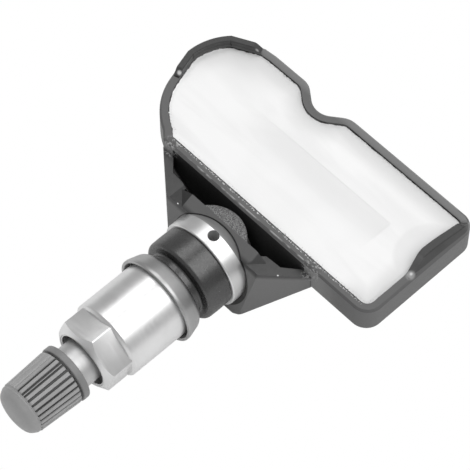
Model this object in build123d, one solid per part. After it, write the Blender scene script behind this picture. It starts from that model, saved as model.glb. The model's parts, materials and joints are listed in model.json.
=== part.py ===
# Clamp-in tyre pressure sensor: a metal valve on the front of a sealed electronic housing.
# Millimetres. The origin lies on the valve axis, on the face of the collar that the grommet seats on.
# The valve points along -Y, the housing lies along +Y, and +Z is the open side that is filled with potting.
# Places along the valve are counted outwards from the origin, so a place t lies at y = -t.
import os
from math import cos, hypot, radians, sin, tan

from build123d import *

os.makedirs("parts", exist_ok=True)

# Valve stem: a collar, a threaded shank for the hex nut and a thinner threaded end for the cap
collar_r = 8.15
collar_t = 3.0
collar_edge = 0.35
dome_len = 2.2
dome_centre_back = 5.2
shank_r = 4.5
cap_thread_r = 3.85
tip_edge = 0.4
air_r = 1.6
spigot_r = 3.2
pin_hole_r = 1.0
pin_hole_back = 0.85
pin_hole_angle = 82.0
pin_hole_depth = 3.6

# Rubber grommet, with a neck for the 11.3 mm hole of a wheel
grommet_in = 0.5
grommet_len = 4.9
grommet_edge_share = 0.675
grommet_neck_r = 5.65
grommet_neck_len = 1.55
grommet_gap = 0.05

# Washer: a cup that holds the foot of the nut, as wide at its lip as the collar
washer_in = 0.6
washer_len = 3.5
washer_base = 1.5
washer_edge = 0.7
washer_wall = 0.55
washer_lip_edge = 0.15
washer_bore_gap = 0.3
washer_foot_gap = 0.08

# Hex nut with a long barrel
hex_across = 12.0
hex_len = 4.95
hex_turn = 15.5
hex_land_r = 5.3
hex_chamfer = 36.0
barrel_in = 0.15
barrel_len = 13.1
barrel_edge = 0.5
foot_in = 0.95
foot_len = 0.9
foot_step = 0.2
counterbore_gap = 0.35
counterbore_len = 3.2
shank_past = 0.2
thread_gap = 0.05

# Cap, whose walls are counted from the thread
cap_gap = 2.7
cap_grip = 8.4
cap_past = 3.5
cap_flange_wall = 1.3
cap_flange_len = 1.3
cap_flange_edge = 0.2
cap_root_wall = 0.85
cap_rib_height = 0.3
cap_rib_pitch = 12.62
cap_rib_first = 15.3
cap_ridge = 5.9
cap_ridge_width = 0.2
cap_tip_wall = 0.7
cap_tip_groove = 0.3
cap_shoulder_len = 1.7
cap_shoulder_edge = 0.4
cap_dome = 1.3
cap_rib_count = 28
cap_rib_width = 0.69
cap_bore_gap = 0.08
cap_seal_t = 1.0
cap_seal_in = 0.25
cap_seal_w = 0.7

# Valve core, with places counted inwards from the tip of the stem
core_thread_r = 2.6
core_gap = 0.05
core_sunk = 0.6
core_head_len = 4.3
core_head_bore = 0.95
core_head_cone = 0.4
core_seat_r = 1.9
core_seat_in = 7.5
core_seat_len = 1.5
core_barrel_r = 1.6
core_barrel_in = 13.1
core_barrel_bore = 1.25
core_barrel_lip_r = 0.9
core_barrel_lip_t = 0.8
core_room = 3.0
core_slot_w = 0.9
core_slot_depth = 1.0
pin_r = 0.45
pin_sunk = 0.2
pin_collar_r = 1.19
pin_collar_in = 6.1
pin_collar_t = 0.5
poppet_r = 1.3
poppet_t = 1.0
poppet_seal_t = 0.6
spring_r = 0.82
spring_wire_r = 0.13
spring_turns = 6
spring_gap = 0.05

# Housing
rim_z = 7.0
wall_foot_z = 1.8
base_z = -8.6
near_y = 9.6
far_y = 35.15
end_x = 28.8
wall = 1.5
floor_t = 1.5
belly_draft = 27.5
rim_edge = 0.35
corner_r = 3.0
waist_x = -5.4
waist_half = 4.9
waist_depth = 3.8
waist_r = 3.6
lip_height = 1.4
lip_inset = 0.3
end_lip_len = 14.15
end_lip_ramp = 2.6
end_lip_w = 4.3
round_lip_start = 111.0
round_lip_end = 195.0

# The battery sets the round end. Each corner there is an angle and what its radius adds to the wall's
battery_x = -16.2
battery_r = 10.0
battery_t = 3.2
battery_gap = 0.3
round_far_gap = 0.75
foot_corner = (250.0, 0.6)
side_middle = (222.0, 0.1)
flat_start = (197.0, -0.1)
flat_end = (172.5, 1.0)
lug_middle = (153.0, 1.6)
lug_end = (136.0, 1.9)
flank_end = (110.0, 1.3)
flank_run = 2.4
foot_run = 1.6

# Neck that carries the valve, seen from the front and from above
deck = (-10.0, 10.0)
deck_z = 5.15
wing = (-19.0, 16.4)
wing_top_z = 4.6
crest_top = (-7.7, 7.4)
crest_foot = (-10.4, 9.6)
crest_z = 6.4
crest_slope = 0.49
keel_half = 6.6
keel_corner = (8.4, 1.2)
keel_r = 1.0
nose = (-8.6, 7.7)
nose_y = 1.0
nose_r = 2.0
neck_inside = 6.5
neck_side = 1.3
neck_wall = 2.9
front_y = 2.55
front_tilt = 9.5
seat_gap = 0.08
pocket_front = (-8.6, 7.6)
pocket_bend = (-11.3, 8.6)
pocket_bend_in = 0.95
pocket_knee = (-13.9, 11.6)
pocket_knee_out = 2.5
pocket_end = (-16.5, 14.4)

# Rear nut on the spigot, a block with a round back in the open pocket behind the neck's wall
rear_nut_r = 6.15
rear_nut_depth = 2.57
rear_nut_drop = 6.2
rear_nut_edge = 0.25
spigot_past = 0.2
spigot_gap = 0.05

# Electronics under the potting
potting_drop = 0.6
board_z = 1.0
board_t = 0.8
board_gap = 0.4
board_apart = 1.2
ledge = 1.3
chip = (12.0, 22.0)
chip_side = 7.0
chip_t = 2.0
port_r = 1.25
gasket_r = 2.8
gasket_bore = 1.6
gasket_t = 1.0
chimney_r = 3.1
tab_t = 0.2
tab_w = 4.0
tab_reach = 7.0
tab_lap = 2.0
tab_slot_gap = 0.3
ferrite_in = (14.8, 5.65)
ferrite_len = 8.0
ferrite_side = 2.8
ferrite_flange = 1.0
winding_t = 0.5
antenna_in = (3.8, 4.9, 4.65)
antenna_rise = 2.4
antenna_w = 1.2
antenna_t = 0.4
crystal_in = (9.0, 7.4)
crystal_size = (3.2, 2.5, 0.9)
capacitor_size = (1.6, 0.8, 0.8)
capacitor_count = 6
capacitor_pitch = 2.4
capacitor_row_in = (11.0, 9.35)
recess_r = 4.8
recess_roof = 1.6
recess_rib = 1.4

# Radii of the valve that follow the collar, the shank and the cap's thread
dome_r = hypot(collar_r, dome_centre_back)
grommet_r = collar_r - grommet_in
grommet_edge = grommet_edge_share * (grommet_r - grommet_neck_r)
washer_r = collar_r - washer_in
foot_r = collar_r - foot_in
barrel_r = foot_r - barrel_in
counterbore_r = shank_r + counterbore_gap
cap_flange_r = cap_thread_r + cap_flange_wall
cap_root_r = cap_thread_r + cap_root_wall
cap_tip_r = cap_thread_r + cap_tip_wall
cap_seal_r = cap_thread_r - cap_seal_in

# Places along the valve, outwards from the collar
grommet_end = grommet_len + grommet_neck_len
washer_lip = grommet_end + washer_len
nut_foot = grommet_end + washer_base
hex_back = nut_foot + barrel_len
nut_face = hex_back + hex_len
cap_base = nut_face + cap_gap
stem_tip = cap_base + cap_grip
cap_end = stem_tip + cap_past
cap_shoulder = cap_end - cap_shoulder_len
shank_end = nut_face - counterbore_len + shank_past
core_top = stem_tip - core_sunk
core_head_end = core_top - core_head_len
core_seat = stem_tip - core_seat_in
core_end = stem_tip - core_barrel_in
pin_collar = stem_tip - pin_collar_in

# Places of the housing and of what lies in it
dome_centre = collar_t - dome_centre_back
dome_end = collar_t + dome_len
pocket_front_y = collar_t + neck_wall
rear_nut_back = pocket_front_y + rear_nut_depth
spigot_end = rear_nut_back + spigot_past
round_r = battery_r + battery_gap + wall
battery_y = far_y - round_r - round_far_gap
board_left = battery_x + battery_r + board_apart
board_top = board_z + board_t
potting_z = rim_z - potting_drop
cavity_floor = base_z + floor_t
chip_bottom = board_z - chip_t
chimney_top = chip_bottom - gasket_t
ferrite = (end_x - ferrite_in[0], far_y - ferrite_in[1])
antenna_x = end_x - antenna_in[0]
antenna_ends = (near_y + antenna_in[1], far_y - antenna_in[2])
crystal = (board_left + crystal_in[0], near_y + crystal_in[1])
capacitor_row = (board_left + capacitor_row_in[0], far_y - capacitor_row_in[1])


def turned(*points):
    """A solid of revolution about the valve axis, from (radius, outward place) points."""
    section = Polyline(*[(r, -t) for r, t in points], close=True)
    return revolve(make_face(section), Axis.Y)


def ring(outer, inner, start, end):
    """A plain tube or disc on the valve axis."""
    return turned((inner, start), (outer, start), (outer, end), (inner, end))


def block(x0, x1, y0, y1, z0, z1):
    """A box between two corners."""
    return Pos((x0 + x1) / 2, (y0 + y1) / 2, (z0 + z1) / 2) * Box(x1 - x0, y1 - y0, z1 - z0)


def post(place, r, z0, z1):
    """An upright cylinder."""
    return Pos(place[0], place[1], (z0 + z1) / 2) * Cylinder(r, z1 - z0)


def slab(face, z0, z1, draft=0.0):
    """A plan face raised or lowered from z0 to z1, with its sides drawn in by the draft."""
    return Pos(0, 0, z0) * extrude(face, amount=z1 - z0, dir=(0, 0, 1), taper=draft)


def around_battery(corner):
    """A point of the round end in plan, from its angle and what its radius adds to the wall."""
    angle, extra = corner
    reach = round_r + extra
    return (battery_x + reach * cos(radians(angle)), battery_y + reach * sin(radians(angle)))


# The valve, turned round one axis
def make_stem():
    stem = turned(
        (air_r, -collar_t),
        (collar_r, -collar_t),
        (collar_r, -collar_edge),
        (collar_r - collar_edge, 0),
        (shank_r, 0),
        (shank_r, shank_end),
        (cap_thread_r, shank_end + shank_r - cap_thread_r),
        (cap_thread_r, stem_tip - tip_edge),
        (cap_thread_r - tip_edge, stem_tip),
        (air_r, stem_tip),
    )
    stem += make_dome(0)
    stem += ring(spigot_r, air_r, -spigot_end, -collar_t)
    stem -= turned(
        (0, core_end - core_room),
        (core_seat_r, core_end - core_room),
        (core_seat_r, core_seat),
        (core_thread_r, core_seat + core_seat_len),
        (core_thread_r, stem_tip + 1),
        (0, stem_tip + 1),
    )
    drill = post((0, 0), pin_hole_r, collar_r - pin_hole_depth, collar_r + 1)
    return stem - Pos(0, collar_t - pin_hole_back, 0) * (Rot(0, 90 - pin_hole_angle, 0) * drill)


def make_dome(gap):
    """The ball-shaped back of the collar, larger all round by the gap."""
    ball = Pos(0, dome_centre, 0) * Sphere(dome_r + gap)
    return ball & ring(collar_r + gap, air_r, -dome_end - gap, -collar_t / 2)


def make_rear_nut():
    round_back = post((0, rear_nut_back - rear_nut_r), rear_nut_r, -rear_nut_drop, crest_z)
    rim = round_back.edges().filter_by(GeomType.CIRCLE).sort_by(Axis.Z)[-1]
    nut = chamfer(rim, rear_nut_edge)
    nut &= block(-rear_nut_r, rear_nut_r, pocket_front_y, rear_nut_back + 1, -rear_nut_drop, crest_z)
    return nut - ring(spigot_r + spigot_gap, 0, -rear_nut_back - 1, -pocket_front_y + 1)


def make_grommet():
    bore = shank_r + grommet_gap
    body = turned(
        (bore, 0),
        (grommet_r, 0),
        (grommet_r, grommet_len),
        (grommet_neck_r, grommet_len),
        (grommet_neck_r, grommet_end),
        (bore, grommet_end),
    )
    shoulder = body.edges().filter_by(GeomType.CIRCLE)
    shoulder = [e for e in shoulder if abs(e.radius - grommet_r) < 0.01 and e.center().Y < -grommet_len / 2]
    return fillet(shoulder, grommet_edge)


def make_washer():
    bore = shank_r + washer_bore_gap
    inside = foot_r + washer_foot_gap
    return turned(
        (bore, grommet_end),
        (washer_r - washer_edge, grommet_end),
        (washer_r - washer_edge * 0.3, grommet_end + washer_edge * 0.3),
        (washer_r, grommet_end + washer_edge),
        (collar_r, washer_lip - 3 * washer_lip_edge),
        (collar_r, washer_lip - washer_lip_edge),
        (collar_r - washer_lip_edge, washer_lip),
        (collar_r - washer_wall, washer_lip),
        (inside, nut_foot + foot_len),
        (inside, nut_foot),
        (bore, nut_foot),
    )


def make_nut():
    bore = shank_r + thread_gap
    corner = hex_across / 2 / cos(radians(30))
    wide = corner + 1
    barrel = turned(
        (bore, nut_foot),
        (foot_r, nut_foot),
        (foot_r, nut_foot + foot_len - foot_step),
        (barrel_r, nut_foot + foot_len),
        (barrel_r, hex_back - barrel_edge),
        (barrel_r - barrel_edge, hex_back),
        (bore, hex_back),
    )
    bar = extrude(Plane.XZ * RegularPolygon(corner, 6, rotation=hex_turn), amount=nut_face)
    crowned = turned(
        (0, hex_back),
        (wide, hex_back),
        (wide, nut_face - (wide - hex_land_r) * tan(radians(hex_chamfer))),
        (hex_land_r, nut_face),
        (0, nut_face),
    )
    bored = turned(
        (0, hex_back - 1),
        (bore, hex_back - 1),
        (bore, nut_face - counterbore_len),
        (counterbore_r, nut_face - counterbore_len),
        (counterbore_r, nut_face + 1),
        (0, nut_face + 1),
    )
    return barrel + ((bar & crowned) - bored)


def make_cap():
    bore = cap_thread_r + cap_bore_gap
    seal_top = stem_tip + cap_seal_t
    flange_end = cap_base + cap_flange_len
    groove_r = cap_tip_r - cap_tip_groove
    rib_end = cap_shoulder - cap_shoulder_edge
    shell = turned(
        (bore, cap_base),
        (cap_flange_r - cap_flange_edge, cap_base),
        (cap_flange_r, cap_base + cap_flange_edge),
        (cap_flange_r, flange_end - cap_flange_edge),
        (cap_root_r, flange_end),
        (groove_r, rib_end),
        (cap_tip_r, cap_shoulder),
        (cap_tip_r - cap_flange_edge, cap_shoulder + cap_shoulder_edge),
        (cap_tip_r - cap_dome, cap_end - cap_flange_edge),
        (cap_tip_r - 2 * cap_dome, cap_end),
        (0, cap_end),
        (0, seal_top),
        (bore, seal_top),
    )
    ends = ((flange_end, cap_root_r), (rib_end, groove_r))
    rib = make_cap_rib(ends, cap_rib_width)
    ridge = make_cap_rib(ends, cap_ridge_width)
    ribs = [Rot(0, cap_rib_first + i * cap_rib_pitch, 0) * rib for i in range(cap_rib_count)]
    return shell.fuse(*ribs, Rot(0, cap_ridge, 0) * ridge)


def make_cap_rib(ends, width):
    """A rib on the cap's upper side; each of its two ends is a place and the wall's radius there."""
    section = Rectangle(width, 2 * cap_rib_height)
    return loft([Plane.XZ.offset(place) * Pos(0, root) * section for place, root in ends])


def make_cap_seal():
    return ring(cap_seal_r, cap_seal_r - cap_seal_w, stem_tip, stem_tip + cap_seal_t)


def make_core():
    thread = core_thread_r - core_gap
    lip_end = core_end + core_barrel_lip_t
    body = turned(
        (core_head_bore, core_top),
        (thread, core_top),
        (thread, core_head_end),
        (core_barrel_r, core_head_end - core_head_cone),
        (core_barrel_r, core_end),
        (core_barrel_lip_r, core_end),
        (core_barrel_lip_r, lip_end),
        (core_barrel_bore, lip_end),
        (core_barrel_bore, core_head_end),
        (core_head_bore, core_head_end),
    )
    slot_end = core_top - core_slot_depth
    half = core_slot_w / 2
    return body - block(-thread - 1, thread + 1, -core_top - 1, -slot_end, -half, half)


def make_core_seal():
    outer = core_seat + core_seat_len
    return turned(
        (core_barrel_r, core_seat),
        (core_seat_r, core_seat),
        (core_thread_r - core_gap, outer),
        (core_barrel_r, outer),
    )


def make_pin():
    poppet = core_end - poppet_seal_t
    return turned(
        (0, stem_tip - pin_sunk),
        (pin_r, stem_tip - pin_sunk),
        (pin_r, pin_collar + pin_collar_t),
        (pin_collar_r, pin_collar + pin_collar_t),
        (pin_collar_r, pin_collar),
        (pin_r, pin_collar),
        (pin_r, poppet),
        (poppet_r, poppet),
        (poppet_r, poppet - poppet_t),
        (0, poppet - poppet_t),
    )


def make_poppet_seal():
    return ring(poppet_r, pin_r, core_end - poppet_seal_t, core_end)


def make_spring():
    start = core_end + core_barrel_lip_t + spring_wire_r + spring_gap
    length = pin_collar - start - spring_wire_r - spring_gap
    path = Helix(pitch=length / spring_turns, height=length, radius=spring_r)
    wire = sweep(Plane(origin=path @ 0, z_dir=path % 0) * Circle(spring_wire_r), path=path, is_frenet=True)
    return Pos(0, -start, 0) * (Rot(90, 0, 0) * wire)


# The housing
def make_outline():
    """The housing's outer outline in plan, as one face."""
    foot = around_battery(foot_corner)
    near_left = (foot[0] + foot_run, near_y)
    flank = around_battery(flank_end)
    sides = [
        Line(near_left, (end_x, near_y)),
        Line((end_x, near_y), (end_x, far_y)),
        Line((end_x, far_y), (waist_x + waist_half, far_y)),
        Line((waist_x + waist_half, far_y), (waist_x, far_y - waist_depth)),
        Line((waist_x, far_y - waist_depth), (waist_x - waist_half, far_y)),
        Line((waist_x - waist_half, far_y), (flank[0] + flank_run, far_y)),
        Line((flank[0] + flank_run, far_y), flank),
        Line(flank, around_battery(lug_end)),
        ThreePointArc(around_battery(lug_end), around_battery(lug_middle), around_battery(flat_end)),
        Line(around_battery(flat_end), around_battery(flat_start)),
        ThreePointArc(around_battery(flat_start), around_battery(side_middle), foot),
        Line(foot, near_left),
    ]
    face = make_face(sides)
    face = fillet([v for v in face.vertices() if v.X > end_x - 0.01], corner_r)
    bends = [v for v in face.vertices() if abs(v.X - waist_x) < waist_half + 0.1 and v.Y > battery_y]
    return fillet(bends, waist_r)


def make_front():
    """The neck seen from the front, as one face."""
    keel_x, keel_rise = keel_corner
    face = make_face(Polyline(
        (-keel_half, base_z),
        (keel_half, base_z),
        (keel_x, base_z + keel_rise),
        (wing[1], wall_foot_z),
        (wing[1], wing_top_z),
        (deck[1], deck_z),
        (deck[0], deck_z),
        (wing[0], wing_top_z),
        (wing[0], wall_foot_z),
        (-keel_x, base_z + keel_rise),
        close=True,
    ))
    return fillet([v for v in face.vertices() if v.Y < base_z + keel_rise + 0.01], keel_r)


def make_crest():
    """The raised middle of the neck's top, which sinks into the deck towards the front."""
    profile = make_face(Polyline(
        (crest_foot[0], deck_z),
        (crest_top[0], crest_z),
        (crest_top[1], crest_z),
        (crest_foot[1], deck_z),
        (crest_foot[1], 0),
        (crest_foot[0], 0),
        close=True,
    ))
    back = Plane.XZ.offset(-pocket_front_y) * profile
    front = Plane.XZ.offset(-collar_t) * (Pos(0, -crest_slope * neck_wall) * profile)
    return loft([back, front])


def make_neck(front):
    inside_y = near_y + neck_inside
    plan = make_face(Polyline(
        (nose[0], nose_y),
        (nose[1], nose_y),
        (wing[1], near_y),
        (wing[1], inside_y),
        (wing[0], inside_y),
        (wing[0], near_y),
        close=True,
    ))
    plan = fillet([v for v in plan.vertices() if v.Y < nose_y + 0.01], nose_r)
    neck = extrude(Plane.XZ * front, amount=-inside_y) & slab(plan, base_z, deck_z)
    neck += make_crest()
    reach = 4 * collar_r
    before = Pos(0, -reach / 2, 0) * Box(reach, reach, reach)
    neck -= Pos(0, front_y, 0) * (Rot(-front_tilt, 0, 0) * before)
    neck -= ring(collar_r + seat_gap, 0, -collar_t - seat_gap, collar_t)
    return neck - make_dome(seat_gap)


def make_pocket(front):
    """The open pocket behind the neck's wall, where the rear nut sits."""
    bend_y = pocket_front_y + pocket_bend_in
    knee_y = near_y - pocket_knee_out
    plan = make_face(Polyline(
        (pocket_front[0], pocket_front_y),
        (pocket_front[1], pocket_front_y),
        (pocket_bend[1], bend_y),
        (pocket_knee[1], knee_y),
        (pocket_end[1], near_y),
        (pocket_end[0], near_y),
        (pocket_knee[0], knee_y),
        (pocket_bend[0], bend_y),
        close=True,
    ))
    top = crest_z + 1
    open_top = Pos(0, (wall_foot_z + top) / 2) * Rectangle(4 * end_x, top - wall_foot_z)
    inside = offset(front, -neck_side) + open_top
    return slab(plan, base_z, top) & extrude(Plane.XZ * inside, amount=-near_y - 1)


def make_lips(shape):
    """The two raised lengths of the rim, at the square end and at the round end."""
    band = offset(shape, -lip_inset) - offset(shape, -wall)
    raised = slab(band, rim_z, rim_z + lip_height)
    top = rim_z + lip_height
    start_y = far_y - end_lip_len
    square = extrude(Plane.YZ * make_face(Polyline(
        (start_y, rim_z),
        (start_y + end_lip_ramp, top),
        (far_y + 1, top),
        (far_y + 1, rim_z),
        close=True,
    )), amount=end_x + 1)
    square &= block(end_x - end_lip_w, end_x + 1, near_y, far_y + 1, rim_z, top)
    reach = 2 * round_r
    sector = make_face(Polyline(
        (battery_x, battery_y),
        around_battery((round_lip_start, reach)),
        around_battery((lug_middle[0], 2 * reach)),
        around_battery((round_lip_end, reach)),
        close=True,
    ))
    return (raised & square) + (raised & slab(sector, rim_z, top))


def make_housing(shape, cavity, low_cavity):
    front = make_front()
    body = slab(shape, wall_foot_z, rim_z - rim_edge)
    body += slab(shape, rim_z - rim_edge, rim_z, 45)
    body += slab(shape, wall_foot_z, base_z, belly_draft)
    body += make_neck(front)
    body += make_lips(shape)
    body -= slab(cavity, board_z, rim_z + lip_height + 1)
    low = slab(low_cavity, board_z, cavity_floor, belly_draft)
    body -= low - post(chip, chimney_r, cavity_floor, chimney_top)
    body -= make_pocket(front)
    body -= ring(spigot_r + spigot_gap, 0, -pocket_front_y - 1, collar_t)
    body -= post(chip, port_r, base_z - 1, board_z)
    body -= tab_slot()
    return body - make_recess()


def tab_slot():
    """The shallow slot that the lower battery tab lies in."""
    half = tab_w / 2 + tab_slot_gap
    left = battery_x - tab_reach - tab_slot_gap
    right = board_left + tab_lap + tab_slot_gap
    return block(left, right, battery_y - half, battery_y + half, board_z - tab_t, board_z)


def make_recess():
    """The cored-out underside of the round end, with two crossing ribs left in it."""
    centre = (battery_x, battery_y)
    roof = board_z - recess_roof
    hole = post(centre, recess_r, base_z - 1, roof)
    rib = Pos(battery_x, battery_y, (base_z + roof) / 2) * Box(3 * recess_r, recess_rib, roof - base_z + 3)
    return hole - rib - Pos(battery_x, battery_y) * (Rot(0, 0, 90) * (Pos(-battery_x, -battery_y) * rib))


# What lies inside the housing
def make_board(cavity):
    beside_battery = Pos(board_left + end_x, battery_y) * Rectangle(2 * end_x, 4 * end_x)
    return slab(offset(cavity, -board_gap) & beside_battery, board_z, board_top)


def make_battery():
    return post((battery_x, battery_y), battery_r, board_z, board_z + battery_t)


def make_lower_tab():
    half = tab_w / 2
    left = battery_x - tab_reach
    return block(left, board_left + tab_lap, battery_y - half, battery_y + half, board_z - tab_t, board_z)


def make_upper_tab():
    half = tab_w / 2
    top = board_z + battery_t
    low = battery_y - half
    high = battery_y + half
    foot_x = board_left + tab_lap
    flat = block(battery_x - tab_reach, board_left + tab_t, low, high, top, top + tab_t)
    drop = block(board_left, board_left + tab_t, low, high, board_top, top + tab_t)
    return flat + drop + block(board_left, foot_x, low, high, board_top, board_top + tab_t)


def make_chip():
    x, y = chip
    half = chip_side / 2
    return block(x - half, x + half, y - half, y + half, chip_bottom, board_z)


def make_gasket():
    hole = post(chip, gasket_bore, chimney_top - 1, chip_bottom + 1)
    return post(chip, gasket_r, chimney_top, chip_bottom) - hole


def make_ferrite_and_winding():
    centre = Pos(ferrite[0], ferrite[1], board_top + ferrite_side / 2)
    core_side = ferrite_side - 2 * winding_t
    waist = ferrite_len - 2 * ferrite_flange
    winding = centre * (Box(waist, ferrite_side, ferrite_side) - Box(waist, core_side, core_side))
    return centre * Box(ferrite_len, ferrite_side, ferrite_side) - winding, winding


def make_antenna():
    start, end = antenna_ends
    left = antenna_x - antenna_w / 2
    right = antenna_x + antenna_w / 2
    top = board_top + antenna_rise
    bridge = block(left, right, start, end, top - antenna_t, top)
    for y in (start, end - antenna_t):
        bridge += block(left, right, y, y + antenna_t, board_top, top)
    return bridge


def make_crystal():
    x, y = crystal
    w, d, h = crystal_size
    return block(x - w / 2, x + w / 2, y - d / 2, y + d / 2, board_top, board_top + h)


def make_capacitors():
    x, y = capacitor_row
    w, d, h = capacitor_size
    first = block(x - w / 2, x + w / 2, y - d / 2, y + d / 2, board_top, board_top + h)
    return Compound(children=[Pos(i * capacitor_pitch, 0, 0) * first for i in range(capacitor_count)])


def make_potting(cavity, fillings):
    """The potting fills the housing over the board, round all that stands there."""
    fill = slab(cavity, board_z, potting_z)
    for piece in fillings:
        fill -= piece
    return fill


outline = make_outline()
cavity = offset(outline, -wall)
low_plan = offset(outline, -wall - ledge)
low_cavity = low_plan & (Pos(board_left + ledge + end_x, battery_y) * Rectangle(2 * end_x, 4 * end_x))
ferrite_core, coil_winding = make_ferrite_and_winding()
inner = {
    "circuit_board": make_board(cavity),
    "battery": make_battery(),
    "upper_battery_tab": make_upper_tab(),
    "coil_core": ferrite_core,
    "coil_winding": coil_winding,
    "antenna": make_antenna(),
    "crystal": make_crystal(),
    "capacitors": make_capacitors(),
}
parts = {
    "housing": make_housing(outline, cavity, low_cavity),
    "potting": make_potting(cavity, inner.values()),
    "valve_stem": make_stem(),
    "rear_nut": make_rear_nut(),
    "grommet": make_grommet(),
    "washer": make_washer(),
    "hex_nut": make_nut(),
    "valve_cap": make_cap(),
    "cap_seal": make_cap_seal(),
    "core_body": make_core(),
    "core_seal": make_core_seal(),
    "core_pin": make_pin(),
    "poppet_seal": make_poppet_seal(),
    "core_spring": make_spring(),
    "lower_battery_tab": make_lower_tab(),
    "pressure_chip": make_chip(),
    "port_gasket": make_gasket(),
    **inner,
}

for name, solid in parts.items():
    export_step(solid, f"parts/{name}.step")
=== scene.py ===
import json
import random
from math import atan2, cos, exp, hypot, pi, radians, sin, sqrt

import bmesh
import bpy
from mathutils import Matrix, Vector, geometry, kdtree, noise


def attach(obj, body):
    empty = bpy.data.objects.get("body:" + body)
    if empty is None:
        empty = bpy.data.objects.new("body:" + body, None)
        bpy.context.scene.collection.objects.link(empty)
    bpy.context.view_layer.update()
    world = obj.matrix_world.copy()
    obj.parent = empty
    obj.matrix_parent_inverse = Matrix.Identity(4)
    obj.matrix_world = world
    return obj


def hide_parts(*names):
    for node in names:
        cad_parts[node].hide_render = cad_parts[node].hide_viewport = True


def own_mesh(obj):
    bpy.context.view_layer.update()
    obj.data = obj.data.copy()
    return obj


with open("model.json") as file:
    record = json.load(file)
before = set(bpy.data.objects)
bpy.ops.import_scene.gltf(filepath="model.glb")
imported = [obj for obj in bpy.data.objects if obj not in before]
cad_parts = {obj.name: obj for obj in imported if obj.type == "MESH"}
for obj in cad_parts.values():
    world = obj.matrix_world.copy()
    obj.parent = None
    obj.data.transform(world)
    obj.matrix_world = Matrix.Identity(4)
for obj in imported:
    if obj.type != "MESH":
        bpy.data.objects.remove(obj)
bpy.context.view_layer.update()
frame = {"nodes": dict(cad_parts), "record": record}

# Everything below is in the part's frame. Sizes are millimetres and become metres when a mesh is made.
# Places along the valve are counted outwards from the collar's face, so a place t lies at y = -t.
MM = 0.001
FLOOR_Z = -8.6
RIM_Z = 7.0
WALL_TOP = 6.65
LIP_HEIGHT = 1.4
POTTING_Z = 6.4
COLLAR_T = 3.0
DOME_R = 9.667
DOME_CENTRE = -2.2
DOME_END = 5.2
GROMMET_END = 6.45
NUT_FOOT = 7.95
WASHER_LIP = 9.95
HEX_BACK = 21.05
NUT_FACE = 26.0
CAP_BASE = 28.7
CAP_END = 40.6
STEM_TIP = 37.1
HEX_TURN = 15.5
NECK_TOP = 6.4
NECK_BACK = 5.9
REAR_NUT_BACK = 8.47
REAR_NUT_R = 6.15
PIN_HOLE = 82.0
PIN_HOLE_Y = 2.15
COLLAR_R = 8.15
TIP_R = 3.85
THREAD_START = 29.4
THREAD_END = 36.7
CAP_PITCH = 25.4 / 32
CAP_FLANGE = 1.3
CAP_ROOT_R = 4.66
CAP_TAPER = 0.0482
BORE_R = 4.55
VALVE_STEPS = 224
CAP_STEPS = 1080

# Cap ribs, by their angle from +Z towards +X. A narrow ridge stands in the one wide gap between them
RIBS = 28
RIB_PITCH = 12.62
RIB_RISE = 0.38
FIRST_RIB = 15.3
NARROW_RIDGE = 350.6


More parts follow.
